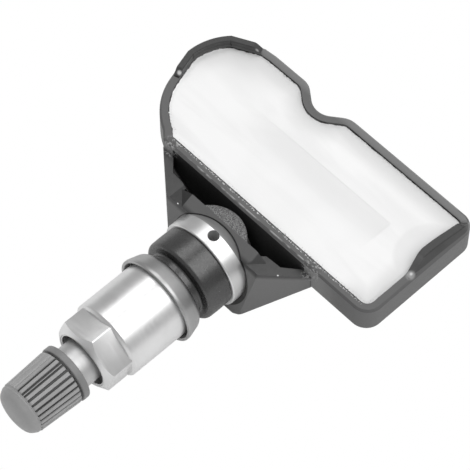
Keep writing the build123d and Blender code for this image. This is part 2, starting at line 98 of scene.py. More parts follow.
# Shaders
class Shader:
    """A procedural material read from object coordinates, which are metres in the part's frame."""

    def __init__(self, name):
        self.material = bpy.data.materials.new(name)
        self.material.use_nodes = True
        self.tree = self.material.node_tree
        self.tree.nodes.clear()
        self.surface = self.tree.nodes.new("ShaderNodeBsdfPrincipled")
        output = self.tree.nodes.new("ShaderNodeOutputMaterial")
        self.tree.links.new(self.surface.outputs["BSDF"], output.inputs["Surface"])
        self.place = self.node("ShaderNodeTexCoord").outputs["Object"]

    def node(self, kind, settings=None, inputs=None):
        made = self.tree.nodes.new(kind)
        for key, value in (settings or {}).items():
            setattr(made, key, value)
        for key, value in (inputs or {}).items():
            self.put(made.inputs[key], value)
        return made

    def put(self, socket, value):
        if isinstance(value, bpy.types.NodeSocket):
            self.tree.links.new(value, socket)
        else:
            socket.default_value = value

    def set(self, **values):
        for key, value in values.items():
            self.put(self.surface.inputs[key.replace("_", " ").title().replace("Ior", "IOR")], value)

    def stretched(self, x, y, z):
        """Object coordinates, stretched."""
        return self.node("ShaderNodeMapping", {}, {"Vector": self.place, "Scale": (x, y, z)}).outputs["Vector"]

    def noise(self, scale, detail=3.0, roughness=0.5, at=None, distortion=0.0):
        return self.node("ShaderNodeTexNoise", {}, {
            "Vector": at or self.place, "Scale": scale, "Detail": detail, "Roughness": roughness,
            "Distortion": distortion}).outputs["Fac"]

    def spread(self, value, low, high, to_low, to_high):
        """value from low to high, smoothly spread from to_low to to_high."""
        return self.node("ShaderNodeMapRange", {"interpolation_type": "SMOOTHSTEP"}, {
            "Value": value, "From Min": low, "From Max": high, "To Min": to_low,
            "To Max": to_high}).outputs["Result"]

    def maths(self, operation, a, b=0.0):
        made = self.node("ShaderNodeMath", {"operation": operation})
        self.put(made.inputs[0], a)
        self.put(made.inputs[1], b)
        return made.outputs[0]

    def mix(self, factor, a, b):
        made = self.node("ShaderNodeMix", {"data_type": "RGBA"})
        self.put(made.inputs[0], factor)
        self.put(made.inputs[6], a)
        self.put(made.inputs[7], b)
        return made.outputs[2]

    def bump(self, height, strength, distance=0.0001, under=None):
        made = self.node("ShaderNodeBump", {}, {"Height": height, "Strength": strength, "Distance": distance})
        if under is not None:
            self.put(made.inputs["Normal"], under)
        return made.outputs["Normal"]

    def parts(self):
        """The three coordinates, in millimetres."""
        split = self.node("ShaderNodeSeparateXYZ", {}, {"Vector": self.place})
        return [self.maths("MULTIPLY", split.outputs[axis], 1 / MM) for axis in "XYZ"]

    def between(self, value, low, high, soft):
        """1 between two bounds and 0 outside them, with soft flanks."""
        return self.maths("MULTIPLY", self.spread(value, low - soft, low, 0.0, 1.0),
                          self.spread(value, high, high + soft, 1.0, 0.0))

    def all_of(self, *masks):
        product = masks[0]
        for mask in masks[1:]:
            product = self.maths("MULTIPLY", product, mask)
        return product

    def near(self, centre, reach, soft):
        """1 at a place given in millimetres, falling to 0 at its reach."""
        away = self.node("ShaderNodeVectorMath", {"operation": "DISTANCE"})
        self.put(away.inputs[0], self.place)
        self.put(away.inputs[1], tuple(v * MM for v in centre))
        return self.spread(away.outputs["Value"], (reach - soft) * MM, reach * MM, 1.0, 0.0)


def grey(value):
    return (value, value, value, 1.0)


def metal(name, dark, light, rough, grain, lines=True):
    """Turned metal: fine rings round the valve axis, soft stains and a faint grain."""
    s = Shader(name)
    rings = s.noise(900.0, 2.0, 0.6, s.stretched(0.15, 4.0, 0.15) if lines else None)
    stains = s.noise(160.0, 3.0, 0.55)
    specks = s.noise(5200.0, 2.0, 0.5)
    tone = s.mix(s.spread(stains, 0.3, 0.7, 0.0, 1.0), dark, light)
    s.set(base_color=tone, metallic=1.0,
          roughness=s.maths("ADD", s.spread(rings, 0.25, 0.75, rough - 0.04, rough + 0.05),
                            s.spread(stains, 0.35, 0.75, 0.0, 0.05)))
    fine = s.bump(specks, grain, 0.00002)
    s.set(normal=s.bump(rings, grain * 0.8, 0.00002, fine))
    return s.material


def plastic(name, dark, light, rough, grain):
    """Moulded plastic, rubber or ceramic with a fine grain."""
    s = Shader(name)
    cloud = s.noise(220.0, 4.0, 0.6)
    specks = s.noise(2600.0, 3.0, 0.65)
    s.set(base_color=s.mix(s.spread(cloud, 0.3, 0.7, 0.0, 1.0), dark, light),
          roughness=s.spread(specks, 0.3, 0.7, rough - 0.05, rough + 0.08),
          normal=s.bump(specks, grain, 0.00005))
    return s.material


def housing_plastic():
    """Glass-filled nylon, finely grained: dark above, rough where the wings meet the rim; painted light makes its
    walls, rim, crest and flanks paler, painted shade darkens its pocket, left slope and collar seat, and painted
    highlights mark the lips' ends and a bead.
    """
    s = Shader("housing_plastic")
    x, y, z = s.parts()
    cloud = s.noise(160.0, 4.0, 0.6)
    grain = s.noise(3600.0, 3.0, 0.7)
    crumbs = s.noise(1900.0, 2.0, 0.8)
    fine_crumbs = s.noise(3600.0, 2.0, 0.8)
    # painted light: the walls below the rim get a paler tone than the dark top, palest along the near wall and darker
    # round the square end
    walls = s.all_of(s.spread(z, 6.55, 6.75, 1.0, 0.0), s.spread(y, 9.45, 9.58, 0.0, 1.0))
    # painted shade: the wall at the back of the neck's pocket is made nearly black, a little less dark towards +x
    pocket_shade = s.all_of(s.between(x, -16.6, 14.5, 0.1), s.between(y, 9.4, 9.75, 0.05),
                           s.spread(z, 6.1, 6.5, 1.0, 0.0))
    # painted light: the rim's top is made paler than the rest of the top, palest on the far rim
    lit_rim_top = s.between(z, 6.7, 7.15, 0.1)
    lip_top = s.spread(z, 8.1, 8.25, 0.0, 1.0)
    glints = s.maths("MAXIMUM", s.near((-26.5, 20.2, 7.9), 0.7, 0.4), s.near((-20.5, 32.8, 7.9), 0.8, 0.5))
    glints = s.maths("MAXIMUM", glints, s.near((27.9, 20.4, 7.4), 0.45, 0.3))
    # a paler spot where a bead sits at the square lip's near end, painted as its soft highlight round the glint
    bead_sheen = s.near((28.0, 20.2, 7.3), 1.05, 0.6)
    dust = s.maths("MAXIMUM", s.near((-8.8, 3.4, 5.15), 0.2, 0.1), s.near((12.4, 5.75, 5.0), 0.2, 0.1))
    neck = s.spread(y, 9.3, 9.5, 1.0, 0.0)
    # painted light on the neck: its crest and its lower flanks are made paler than the dark top
    lit_crest = s.all_of(neck, s.between(x, -7.9, 7.6, 0.3), s.spread(z, 5.2, 5.6, 0.0, 1.0))
    flanks = s.all_of(neck, s.spread(z, 3.6, 4.7, 1.0, 0.0))
    # the far rim's share of the painted rim highlight
    lit_far_rim = s.spread(y, 33.0, 34.5, 0.0, 1.0)
    # painted shade: the neck's left slope is made darker
    shaded_left_slope = s.all_of(neck, s.between(x, -10.7, -7.95, 0.1), s.spread(z, 4.9, 5.1, 0.0, 1.0))
    # painted shade: a thin near-black ring where the collar's ball sits in the housing
    seat_gap_shade = s.near((0, DOME_CENTRE, 0), DOME_R + 0.26, 0.08)
    patch = s.maths("MAXIMUM", s.near((-17.3, 9.9, 5.9), 2.3, 1.2), s.near((16.0, 10.1, 5.7), 2.5, 1.2))
    crumb_light = s.all_of(patch, s.spread(crumbs, 0.5, 0.62, 0.0, 1.0))
    near_rim = s.all_of(s.between(x, -17.5, 26.0, 0.5), s.between(z, 6.3, 7.2, 0.05))
    ragged = s.maths("ADD", y, s.maths("MULTIPLY", s.maths("SUBTRACT", crumbs, 0.5), 0.4))
    inner_edge = s.all_of(near_rim, s.between(ragged, 10.98, 11.4, 0.04))
    edge_crumbs = s.all_of(near_rim, s.between(y, 10.7, 10.9, 0.08), s.spread(fine_crumbs, 0.54, 0.6, 0.0, 1.0))
    edge_glint = s.all_of(s.between(y, 9.88, 10.02, 0.06), s.between(x, -15.0, 14.0, 1.0),
                          s.spread(z, 6.7, 6.9, 0.0, 1.0), s.spread(s.noise(500.0), 0.42, 0.6, 0.0, 1.0))
    tone = s.mix(s.spread(cloud, 0.3, 0.7, 0.0, 1.0), grey(0.05), grey(0.07))
    tone = s.mix(flanks, tone, grey(0.18))
    tone = s.mix(walls, tone, s.mix(s.spread(x, 17.0, 23.0, 0.0, 1.0), grey(0.28), grey(0.17)))
    tone = s.mix(lit_rim_top, tone, s.mix(lit_far_rim, grey(0.12), grey(0.19)))
    tone = s.mix(lip_top, tone, grey(0.045))
    tone = s.mix(lit_crest, tone, grey(0.13))
    tone = s.mix(shaded_left_slope, tone, grey(0.025))
    tone = s.mix(pocket_shade, tone, s.mix(s.spread(x, 0.0, 7.0, 0.0, 1.0), grey(0.014), grey(0.035)))
    tone = s.mix(crumb_light, tone, grey(0.42))
    tone = s.mix(bead_sheen, tone, grey(0.34))
    tone = s.mix(s.maths("MAXIMUM", edge_crumbs, s.maths("MAXIMUM", glints, dust)), tone, grey(0.85))
    tone = s.mix(inner_edge, tone, grey(0.008))
    tone = s.mix(edge_glint, tone, grey(0.4))
    tone = s.mix(seat_gap_shade, tone, grey(0.006))
    s.set(base_color=tone,
          roughness=s.maths("ADD", s.spread(grain, 0.3, 0.7, 0.36, 0.52), s.maths("MULTIPLY", walls, 0.25)),
          normal=s.bump(crumbs, s.maths("MULTIPLY", patch, 0.9), 0.0004, s.bump(grain, 0.22, 0.00004)))
    return s.material


def potting_compound():
    """Glossy cast compound, nearly white: painted shade greys it towards the far wall and square end, by the round
    end's lip and in a shallow dish at the square end; one long poured band, a dark broken edge line.
    """
    s = Shader("potting_compound")
    x, y, z = s.parts()
    away = s.node("ShaderNodeAttribute", {"attribute_name": "from_wall"}).outputs["Fac"]
    streaks = s.noise(90.0, 3.0, 0.5, s.stretched(0.35, 2.2, 1.0), 0.6)
    cloud = s.noise(70.0, 2.0, 0.5)
    ragged = s.noise(1300.0, 3.0, 0.7)
    near_side = s.spread(y, 13.0, 16.0, 1.0, 0.0)
    # painted shade: the compound greys next to the far wall and the square end
    far_wall_shade = s.maths("MAXIMUM", s.spread(y, 22.0, 28.0, 0.0, 1.0), s.spread(x, 20.0, 25.0, 0.0, 1.0))
    # painted shade: greyer by the round end's lip
    round_end_shade = s.all_of(s.spread(y, 24.0, 31.0, 0.0, 1.0), s.spread(x, -22.0, -12.0, 1.0, 0.0))
    band = s.all_of(s.spread(y, 25.15, 25.5, 1.0, 0.0), s.spread(y, 18.0, 24.0, 0.0, 1.0),
                    s.spread(x, 18.3, 18.8, 1.0, 0.0), s.spread(x, -17.0, -4.0, 0.0, 1.0))
    # a shallow dish by the square end, in the bump, with painted shade greying it
    dish = s.near((27.9, 25.7, POTTING_Z), 6.9, 0.9)
    tone = s.mix(s.spread(streaks, 0.42, 0.68, 0.0, 1.0), grey(0.99), grey(0.92))
    tone = s.mix(s.spread(cloud, 0.5, 0.8, 0.0, 0.5), tone, grey(0.92))
    tone = s.mix(s.maths("MULTIPLY", band, 0.7), tone, grey(0.84))
    tone = s.mix(s.all_of(far_wall_shade, s.spread(away, 0.2, 4.5, 0.75, 0.0)), tone, grey(0.7))
    tone = s.mix(s.maths("MULTIPLY", round_end_shade, 0.8), tone, grey(0.76))
    tone = s.mix(s.maths("MULTIPLY", dish, 0.45), tone, grey(0.8))
    specks = s.all_of(near_side, s.spread(away, 0.25, 0.9, 1.0, 0.0), s.spread(s.noise(3200.0), 0.6, 0.66, 0.0, 1.0))
    tone = s.mix(specks, tone, grey(0.35))
    edge = s.maths("ADD", away, s.maths("MULTIPLY", s.maths("SUBTRACT", ragged, 0.5), -0.35))
    tone = s.mix(s.spread(edge, 0.1, 0.22, 1.0, 0.0), tone, grey(0.02))
    relief = s.maths("ADD", s.maths("MULTIPLY", dish, 0.6), s.maths("ADD", band, streaks))
    s.set(base_color=tone, roughness=s.spread(cloud, 0.3, 0.7, 0.16, 0.26), subsurface_weight=0.0,
          normal=s.bump(relief, 0.25, 0.0003))
    return s.material


def rear_nut_grain():
    """Sintered steel: an even fine grain on top, drawn streaks down the sides, made pale there as painted light."""
    s = Shader("nut_steel")
    grain = s.noise(6500.0, 2.0, 0.75)
    streaks = s.noise(1500.0, 2.0, 0.6, s.stretched(1.0, 1.0, 0.06))
    height = s.node("ShaderNodeSeparateXYZ", {}, {"Vector": s.place}).outputs["Z"]
    top = s.spread(height, (NECK_TOP - 0.3) * MM, (NECK_TOP - 0.1) * MM, 0.0, 1.0)
    relief = s.maths("ADD", s.maths("MULTIPLY", grain, top),
                     s.maths("MULTIPLY", streaks, s.maths("SUBTRACT", 1.0, top)))
    # painted light: the streaked sides, deep in the neck's pocket, are given a pale tone
    side = s.mix(s.spread(streaks, 0.35, 0.65, 0.0, 1.0), grey(0.25), grey(0.85))
    s.set(base_color=s.mix(top, side, s.mix(s.spread(grain, 0.38, 0.64, 0.0, 1.0), grey(0.06), grey(0.3))),
          metallic=0.4, roughness=0.45, normal=s.bump(relief, 0.6, 0.00012))
    return s.material


def stem_metal():
    """Turned aluminium: bright on the collar's band, dull behind it and at the thin end, a pale matt grey in the pin
    hole as painted light.
    """
    s = Shader("stem_aluminium")
    rings = s.noise(900.0, 2.0, 0.6, s.stretched(0.15, 4.0, 0.15))
    stains = s.noise(160.0, 3.0, 0.55)
    place = s.node("ShaderNodeSeparateXYZ", {}, {"Vector": s.place}).outputs["Y"]
    dull = s.spread(place, (COLLAR_T - 0.05) * MM, (COLLAR_T + 0.05) * MM, 0.0, 1.0)
    thin_end = s.spread(place, -25.0 * MM, -22.0 * MM, 1.0, 0.0)
    # painted light: the pin hole's inside is a pale matt grey instead of metal, so that it picks up light from the
    # opening
    hole = s.near((6.1 * cos(radians(PIN_HOLE)), PIN_HOLE_Y, 6.1 * sin(radians(PIN_HOLE))), 1.95, 0.15)
    tone = s.mix(s.spread(stains, 0.3, 0.7, 0.0, 1.0), grey(0.72), grey(0.82))
    tone = s.mix(thin_end, tone, grey(0.64))
    tone = s.mix(dull, tone, grey(0.56))
    rough = s.maths("ADD", s.spread(rings, 0.25, 0.75, 0.3, 0.4), s.spread(stains, 0.35, 0.75, 0.0, 0.06))
    softer = s.maths("MULTIPLY", s.maths("MAXIMUM", dull, thin_end), 0.14)
    s.set(base_color=s.mix(hole, tone, grey(0.5)), metallic=s.maths("SUBTRACT", 1.0, hole),
          roughness=s.maths("ADD", rough, softer),
          normal=s.bump(rings, 0.1, 0.00002, s.bump(s.noise(5200.0, 2.0), 0.12, 0.00002)))
    return s.material


def cap_plastic():
    """Fine matt plastic, with painted shade darkening the grooves between the ribs."""
    s = Shader("cap_plastic")
    x, y, z = s.parts()
    cloud = s.noise(220.0, 4.0, 0.6)
    specks = s.noise(3200.0, 3.0, 0.65)
    reach = s.maths("SQRT", s.maths("ADD", s.maths("MULTIPLY", x, x), s.maths("MULTIPLY", z, z)))
    root = s.maths("ADD", s.maths("MULTIPLY", s.maths("ADD", y, CAP_BASE + CAP_FLANGE), CAP_TAPER), CAP_ROOT_R)
    above_root = s.maths("SUBTRACT", reach, root)
    ribbed = s.between(y, -(CAP_END - 2.2), -(CAP_BASE + CAP_FLANGE + 0.05), 0.05)
    # painted shade: the grooves between the ribs are made near black
    groove = s.all_of(ribbed, s.spread(above_root, 0.06, 0.26, 1.0, 0.0))
    tone = s.mix(s.spread(cloud, 0.3, 0.7, 0.0, 1.0), grey(0.36), grey(0.41))
    tone = s.mix(s.between(y, -(CAP_BASE + CAP_FLANGE), -(CAP_BASE - 0.1), 0.05), tone, grey(0.25))
    s.set(base_color=s.mix(groove, tone, grey(0.06)), roughness=s.spread(specks, 0.3, 0.7, 0.33, 0.45),
          normal=s.bump(specks, 0.1, 0.00005))
    return s.material


def black_rubber():
    """Satin moulded rubber with a few specks of dust."""
    s = Shader("black_rubber")
    cloud = s.noise(220.0, 4.0, 0.6)
    specks = s.noise(2600.0, 3.0, 0.65)
    dust = s.all_of(s.spread(s.noise(3000.0, 2.0, 0.7), 0.7, 0.76, 0.0, 1.0), s.spread(cloud, 0.5, 0.62, 0.0, 1.0))
    tone = s.mix(s.spread(cloud, 0.3, 0.7, 0.0, 1.0), grey(0.012), grey(0.026))
    s.set(base_color=s.mix(dust, tone, grey(0.5)), ior=1.85, roughness=s.spread(specks, 0.3, 0.7, 0.25, 0.38),
          normal=s.bump(specks, 0.12, 0.00005))
    return s.material


materials = {
    "housing_plastic": housing_plastic(),
    "potting_compound": potting_compound(),
    "stem_aluminium": stem_metal(),
    "nut_steel": rear_nut_grain(),
    "black_rubber": black_rubber(),
    "washer_aluminium": metal("washer_aluminium", grey(0.42), grey(0.5), 0.34, 0.2),
    "nut_aluminium": metal("nut_aluminium", grey(0.78), grey(0.86), 0.32, 0.1),
    "cap_plastic": cap_plastic(),
    "core_brass": metal("core_brass", (0.62, 0.45, 0.19, 1), (0.78, 0.6, 0.3, 1), 0.26, 0.1),
    "seal_rubber": plastic("seal_rubber", (0.2, 0.02, 0.02, 1), (0.3, 0.04, 0.035, 1), 0.5, 0.1),
    "spring_steel": metal("spring_steel", grey(0.5), grey(0.68), 0.28, 0.1, False),
    "board_laminate": plastic("board_laminate", (0.02, 0.15, 0.06, 1), (0.035, 0.22, 0.1, 1), 0.3, 0.05),
    "battery_steel": metal("battery_steel", grey(0.6), grey(0.74), 0.25, 0.08, False),
    "tab_nickel": metal("tab_nickel", (0.6, 0.58, 0.5, 1), (0.76, 0.73, 0.66, 1), 0.3, 0.1, False),
    "chip_plastic": plastic("chip_plastic", grey(0.02), grey(0.04), 0.45, 0.1),
    "gasket_rubber": plastic("gasket_rubber", grey(0.06), grey(0.11), 0.6, 0.1),
    "ferrite": plastic("ferrite", grey(0.04), grey(0.08), 0.5, 0.2),
    "copper_wire": metal("copper_wire", (0.55, 0.2, 0.08, 1), (0.75, 0.32, 0.15, 1), 0.28, 0.3),
    "antenna_brass": metal("antenna_brass", (0.65, 0.52, 0.28, 1), (0.8, 0.68, 0.42, 1), 0.3, 0.1, False),
    "crystal_can": metal("crystal_can", grey(0.55), grey(0.72), 0.3, 0.1, False),
    "capacitor_ceramic": plastic("capacitor_ceramic", (0.4, 0.28, 0.18, 1), (0.55, 0.42, 0.3, 1), 0.5, 0.1),
}
slot_of = {entry["node"]: entry["material_slot"] for entry in frame["record"]["subparts"]}
for node, obj in frame["nodes"].items():
    obj.data.materials.clear()
    obj.data.materials.append(materials[slot_of[node]])


# Meshes
def piece(name, bm, body, node, sharp=32.0, bevel=None):
    """Makes a mesh object that stands for a CAD node, in metres, at the origin."""
    bmesh.ops.scale(bm, vec=(MM,) * 3, verts=bm.verts)
    mesh = bpy.data.meshes.new(name)
    bm.to_mesh(mesh)
    bm.free()
    for face in mesh.polygons:
        face.use_smooth = True
    mesh.set_sharp_from_angle(angle=radians(sharp))
    mesh.materials.append(materials[slot_of[node]])
    obj = bpy.data.objects.new(name, mesh)
    bpy.context.scene.collection.objects.link(obj)
    if bevel:
        edge = obj.modifiers.new("edges", "BEVEL")
        edge.width = bevel * MM
        edge.segments = 2
        edge.limit_method = "ANGLE"
        edge.angle_limit = radians(28)
        edge.harden_normals = False
        weighted = obj.modifiers.new("even_shading", "WEIGHTED_NORMAL")
        weighted.keep_sharp = True
    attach(obj, body)
    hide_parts(node)
    return obj


def rounded(points, steps=4):
    """A profile from (radius, place, rounding) points, with each corner rounded."""
    profile = []
    for i, (r, t, rounding) in enumerate(points):
        here = Vector((r, t))
        if not rounding:
            profile.append((r, t))
            continue
        to_last = Vector(points[i - 1][:2]) - here
        to_next = Vector(points[(i + 1) % len(points)][:2]) - here
        cut = min(rounding, to_last.length * 0.48, to_next.length * 0.48)
        a = here + to_last.normalized() * cut
        b = here + to_next.normalized() * cut
        for k in range(steps + 1):
            s = k / steps
            spot = a * (1 - s) ** 2 + here * 2 * s * (1 - s) + b * s * s
            profile.append((spot.x, spot.y))
    return profile


def along(r0, t0, r1, t1, count):
    """Evenly spaced profile points from one place to another, the last one left out."""
    return [(r0 + (r1 - r0) * i / count, t0 + (t1 - t0) * i / count) for i in range(count)]


def lathe(profile, steps=192, relief=None):
    """A closed skin turned about the valve axis; relief(radius, place, angle) may change each radius."""
    bm = bmesh.new()
    section = [bm.verts.new((r, -t, 0)) for r, t in profile]
    edges = [bm.edges.new(pair) for pair in zip(section, section[1:])]
    if profile[0][0] > 0 or profile[-1][0] > 0:
        edges.append(bm.edges.new((section[-1], section[0])))
    bmesh.ops.spin(bm, geom=section + edges, cent=(0, 0, 0), axis=(0, 1, 0), angle=2 * pi, steps=steps,
                   use_merge=True)
    bmesh.ops.remove_doubles(bm, verts=bm.verts, dist=0.0005)
    bmesh.ops.recalc_face_normals(bm, faces=bm.faces)
    if relief:
        for v in bm.verts:
            r = hypot(v.co.x, v.co.z)
            if r > 0.001:
                grown = relief(r, -v.co.y, atan2(v.co.z, v.co.x)) / r
                v.co.x *= grown
                v.co.z *= grown
    return bm


def carved(bm, cutter, operation="DIFFERENCE"):
    """The mesh left when the cutter is taken away from bm, or the part common to both."""
    pair = []
    for part in (bm, cutter):
        mesh = bpy.data.meshes.new("carving")
        part.to_mesh(mesh)
        part.free()
        obj = bpy.data.objects.new("carving", mesh)
        bpy.context.scene.collection.objects.link(obj)
        pair.append(obj)
    carve = pair[0].modifiers.new("carve", "BOOLEAN")
    carve.operation = operation
    carve.solver = "EXACT"
    carve.object = pair[1]
    graph = bpy.context.evaluated_depsgraph_get()
    result = bmesh.new()
    result.from_mesh(pair[0].evaluated_get(graph).to_mesh())
    for obj in pair:
        mesh = obj.data
        bpy.data.objects.remove(obj)
        bpy.data.meshes.remove(mesh)
    return result


def joined(bm, other):
    """One mesh that holds both skins."""
    mesh = bpy.data.meshes.new("joining")
    other.to_mesh(mesh)
    other.free()
    bm.from_mesh(mesh)
    bpy.data.meshes.remove(mesh)
    return bm


def from_cad(node):
    """A merged copy of a CAD node's mesh, in millimetres."""
    bm = bmesh.new()
    bm.from_mesh(frame["nodes"][node].data)
    bmesh.ops.scale(bm, vec=(1 / MM,) * 3, verts=bm.verts)
    bmesh.ops.remove_doubles(bm, verts=bm.verts, dist=0.002)
    bmesh.ops.dissolve_limit(bm, angle_limit=radians(1.0), verts=bm.verts, edges=bm.edges)
    return bm


# The valve
def thread_relief(start, end, pitch, depth):
    """Changes a radius to that of a rounded thread between two places."""
    def relief(r, t, angle):
        if not start < t < end:
            return r
        fade = min(1.0, (t - start) / (pitch * 1.2), (end - t) / (pitch * 1.2))
        wave = 0.5 + 0.5 * cos(2 * pi * t / pitch - angle)
        return r - depth * fade * (1 - wave ** 0.7)
    return relief


def make_stem():
    """The threaded shank, the thinner tip, the spigot and the ball-backed collar with its radial pin hole."""
    ball = []
    for k in range(13):
        y = DOME_END + (COLLAR_T - DOME_END) * k / 12
        ball.append((sqrt(DOME_R ** 2 - (y - DOME_CENTRE) ** 2), -y))
    profile = rounded([(1.6, -REAR_NUT_BACK - 0.2, 0), (3.2, -REAR_NUT_BACK - 0.2, 0.2), (3.2, -DOME_END, 0)])
    profile += ball
    profile += rounded([
        (COLLAR_R, -COLLAR_T, 0), (COLLAR_R, 0.0, 0.3), (4.5, 0.0, 0), (4.5, 23.0, 0.3), (3.87, 23.6, 0.1),
        (3.87, 29.0, 0.2), (TIP_R, THREAD_START, 0),
    ], 6)[1:]
    profile += along(TIP_R, THREAD_START, TIP_R, THREAD_END, 96)
    profile += rounded([(TIP_R, THREAD_END, 0), (3.45, STEM_TIP, 0.15), (2.8, STEM_TIP, 0.1), (2.6, 36.9, 0),
                        (2.6, 31.1, 0), (1.9, 29.6, 0), (1.9, 21.0, 0), (1.6, 21.0, 0)])
    stem = lathe(profile, VALVE_STEPS, thread_relief(THREAD_START, THREAD_END, CAP_PITCH, 0.42))
    hole = bmesh.new()
    bmesh.ops.create_cone(hole, cap_ends=True, segments=48, radius1=1.0, radius2=1.0, depth=5.0)
    bmesh.ops.translate(hole, verts=hole.verts, vec=(0, 0, 7.1))
    bmesh.ops.rotate(hole, verts=hole.verts, cent=(0, 0, 0), matrix=Matrix.Rotation(radians(90 - PIN_HOLE), 3, "Y"))
    bmesh.ops.translate(hole, verts=hole.verts, vec=(0, PIN_HOLE_Y, 0))
    return carved(stem, hole)


def make_grommet():
    return lathe(rounded([
        (BORE_R, 0.0, 0), (7.62, 0.0, 0.15), (7.65, 2.6, 0.5), (7.6, 4.9, 1.5), (5.75, 4.9, 0.45),
        (5.65, GROMMET_END, 0), (BORE_R, GROMMET_END, 0),
    ], 8), VALVE_STEPS)


def make_washer():
    return lathe(rounded([
        (4.8, GROMMET_END, 0), (6.9, GROMMET_END, 0.4), (7.5, 7.1, 0.5), (COLLAR_R, 9.4, 0.25),
        (COLLAR_R, WASHER_LIP, 0.16), (7.62, WASHER_LIP, 0.12), (7.28, 8.9, 0.2), (7.28, NUT_FOOT, 0),
        (4.8, NUT_FOOT, 0),
    ], 5), VALVE_STEPS)


def make_nut():
    barrel = lathe(rounded([
        (BORE_R, NUT_FOOT, 0), (7.2, NUT_FOOT, 0.15), (7.2, 8.7, 0.1), (7.05, 8.85, 0.1),
        (7.05, HEX_BACK - 0.45, 0.15), (6.55, HEX_BACK, 0.1), (BORE_R, HEX_BACK, 0),
    ], 4), VALVE_STEPS)
    corner = 6.0 / cos(radians(30))
    back = HEX_BACK - 0.05
    front = NUT_FACE + 0.2
    bar = bmesh.new()
    bmesh.ops.create_cone(bar, cap_ends=True, segments=6, radius1=corner, radius2=corner, depth=front - back)
    bmesh.ops.rotate(bar, verts=bar.verts, cent=(0, 0, 0), matrix=Matrix.Rotation(radians(90), 3, "X"))
    first = bar.verts[:][0].co
    bmesh.ops.rotate(bar, verts=bar.verts, cent=(0, 0, 0),
                     matrix=Matrix.Rotation(atan2(first.z, first.x) - radians(HEX_TURN), 3, "Y"))
    bmesh.ops.translate(bar, verts=bar.verts, vec=(0, -(front + back) / 2, 0))
    bmesh.ops.bevel(bar, geom=[e for e in bar.edges if abs(e.verts[0].co.y - e.verts[1].co.y) > 1], offset=0.14,
                    segments=3, affect="EDGES", profile=0.5, material=-1)
    crown = lathe(rounded([
        (BORE_R, HEX_BACK - 0.3, 0), (8.5, HEX_BACK - 0.3, 0), (8.5, 23.68, 0), (5.3, NUT_FACE, 0.35),
        (5.1, NUT_FACE, 0.04), (5.06, NUT_FACE - 0.14, 0.04), (4.85, NUT_FACE - 0.14, 0.06), (4.85, 22.8, 0),
        (BORE_R, 22.8, 0),
    ], 4), VALVE_STEPS)
    return joined(barrel, carved(bar, crown, "INTERSECT"))


def smooth(low, high, value):
    s = min(1.0, max(0.0, (value - low) / (high - low)))
    return s * s * (3 - 2 * s)


def rib_height(angle):
    """1 on top of a rib and 0 in the grooves, for an angle of the lathe."""
    turn = (90 - FIRST_RIB - angle * 180 / pi) % 360
    nearest = min(RIBS - 1, round(turn / RIB_PITCH))
    away = min(abs(turn - nearest * RIB_PITCH), 360 - turn)
    height = max(1 - smooth(3.3, 4.7, away), 0.75 - 0.75 * smooth(0.7, 1.7, abs(turn - NARROW_RIDGE)))
    worn = smooth(276.0, 281.0, turn) * (1 - smooth(320.0, 325.0, turn))
    return height + (1 - height) * 0.8 * worn


def make_cap():
    flange_end = CAP_BASE + CAP_FLANGE
    rib_end = CAP_END - 2.3

    def ribs(r, t, angle):
        if not flange_end < t < CAP_END - 1.6 or r < 4.2:
            return r
        ends = smooth(flange_end + 0.12, flange_end + 0.5, t) * (1 - smooth(rib_end - 0.1, rib_end + 0.25, t))
        return r + RIB_RISE * rib_height(angle) * ends

    outer = rounded([(3.93, CAP_BASE, 0.1), (5.15, CAP_BASE, 0.25), (5.15, flange_end - 0.05, 0.2),
                     (CAP_ROOT_R, flange_end, 0)])
    outer += along(CAP_ROOT_R, flange_end + 0.01, 4.64, flange_end + 0.6, 7)
    outer += along(4.64, flange_end + 0.6, 4.26, rib_end - 0.15, 8)
    outer += along(4.26, rib_end - 0.15, 4.5, rib_end + 0.35, 7)
    outer += rounded([(4.5, rib_end + 0.35, 0.1), (4.53, CAP_END - 1.75, 0.5), (3.9, CAP_END - 0.6, 0.9),
                      (2.0, CAP_END, 1.3), (0, CAP_END, 0)], 8)
    inner = [(0, STEM_TIP + 1.0), (3.93, STEM_TIP + 1.0)]
    return lathe(inner + outer, CAP_STEPS, ribs)


def make_rear_nut():
    """A block with a round back that fills the front of the neck's pocket, flush with the neck's wall."""
    bm = bmesh.new()
    bmesh.ops.create_cone(bm, cap_ends=True, segments=160, radius1=REAR_NUT_R, radius2=REAR_NUT_R, depth=12.6)
    bmesh.ops.translate(bm, verts=bm.verts, vec=(0, REAR_NUT_BACK - REAR_NUT_R, NECK_TOP - 6.3))
    top = [e for e in bm.edges if min(v.co.z for v in e.verts) > NECK_TOP - 0.01]
    bmesh.ops.bevel(bm, geom=top, offset=0.2, segments=3, affect="EDGES", profile=0.5, material=-1)
    cutter = bmesh.new()
    bmesh.ops.create_cube(cutter, size=20.0)
    bmesh.ops.translate(cutter, verts=cutter.verts, vec=(0, NECK_BACK + 10.0, 0))
    bm = carved(bm, cutter, "INTERSECT")
    return carved(bm, lathe([(0, -12.0), (3.25, -12.0), (3.25, -4.0), (0, -4.0)], 96))


piece("valve_stem_turned", make_stem(), "sensor", "valve_stem")
piece("rubber_grommet", make_grommet(), "sensor", "grommet")
piece("cup_washer", make_washer(), "washer", "washer")
piece("hex_nut_turned", make_nut(), "nut", "hex_nut")
piece("ribbed_cap", make_cap(), "cap", "valve_cap")
piece("rear_nut_block", make_rear_nut(), "sensor", "rear_nut")


